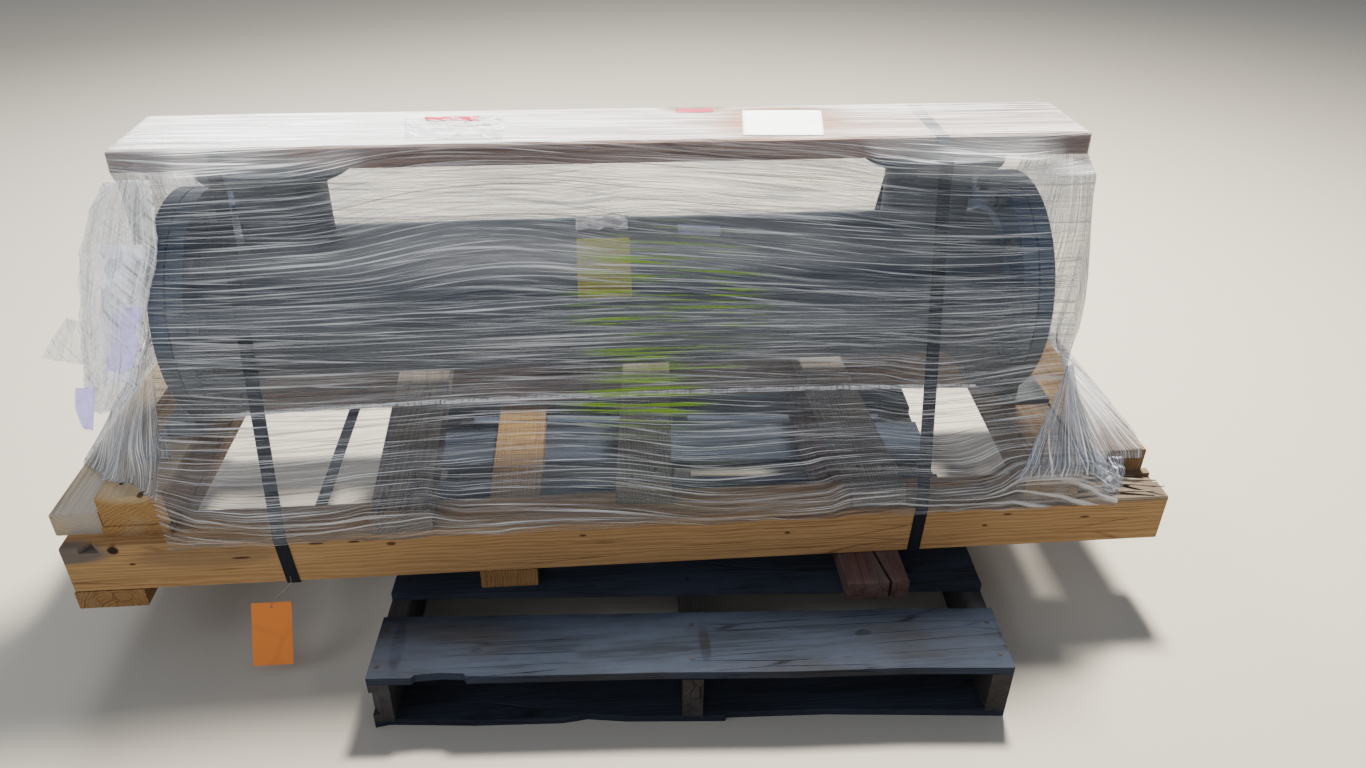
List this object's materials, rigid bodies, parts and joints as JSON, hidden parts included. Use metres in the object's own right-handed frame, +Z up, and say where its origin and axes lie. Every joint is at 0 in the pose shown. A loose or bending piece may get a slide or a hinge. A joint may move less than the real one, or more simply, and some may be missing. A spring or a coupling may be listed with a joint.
{
  "type": "oil cooler",
  "caption": "horizontal shell type oil cooler with flanged ends and upward nozzles, boards strapped over the nozzles, film wrapped, on a timber skid and a pallet",
  "frame": {"origin": "on the floor at the middle of the pallet's middle bottom board", "axes": "+X along the cooler's axis to its right end, +Y to the back, +Z up"},
  "size_m": [2.1523, 1.0776, 0.9437],
  "materials": {
    "shell_paint": "satin",
    "flange_paint": "satin",
    "gasket_black": "matt",
    "plug_steel": "satin",
    "tube_metal": "satin",
    "board_wood": "rough",
    "beam_wood": "rough",
    "crosspiece_wood": "rough",
    "plank_wood": "rough",
    "bearer_wood": "rough",
    "old_red_wood": "rough",
    "pallet_wood": "rough",
    "strap_plastic": "satin",
    "film_plastic": "gloss",
    "pouch_paper": "matt",
    "bag_plastic": "gloss",
    "tag_card": "matt"
  },
  "bodies": {
    "root": {"shell": "shell_paint", "left_shell_flange": "flange_paint", "right_shell_flange": "flange_paint", "left_end_cover": "flange_paint", "right_end_cover": "flange_paint", "left_foot": "flange_paint", "right_foot": "flange_paint", "left_nozzle": "flange_paint", "right_nozzle": "flange_paint", "left_gasket": "gasket_black", "right_gasket": "gasket_black", "drain_plug": "plug_steel", "tube_bundle": "tube_metal", "lower_top_board": "board_wood", "upper_top_board": "board_wood", "left_strap": "strap_plastic", "right_strap": "strap_plastic", "front_beam": "beam_wood", "rear_beam": "beam_wood", "left_outer_crosspiece": "crosspiece_wood", "left_inner_crosspiece": "crosspiece_wood", "left_shim_board": "crosspiece_wood", "right_inner_crosspiece": "crosspiece_wood", "right_outer_crosspiece": "crosspiece_wood", "first_plank": "plank_wood", "second_plank": "plank_wood", "third_plank": "plank_wood", "left_bearer": "bearer_wood", "middle_bearer": "bearer_wood", "right_bearer": "old_red_wood", "pallet_front_deck_board": "pallet_wood", "pallet_deck_boards": "pallet_wood", "pallet_bottom_boards": "pallet_wood", "pallet_stringers": "pallet_wood", "front_film": "film_plastic", "back_film": "film_plastic", "left_end_film": "film_plastic", "right_end_film": "film_plastic", "top_film": "film_plastic", "document_pouch": "pouch_paper", "hanging_bag": "bag_plastic", "hanging_tag": "tag_card", "tag_wire": "plug_steel"}
  },
  "joints": []
}
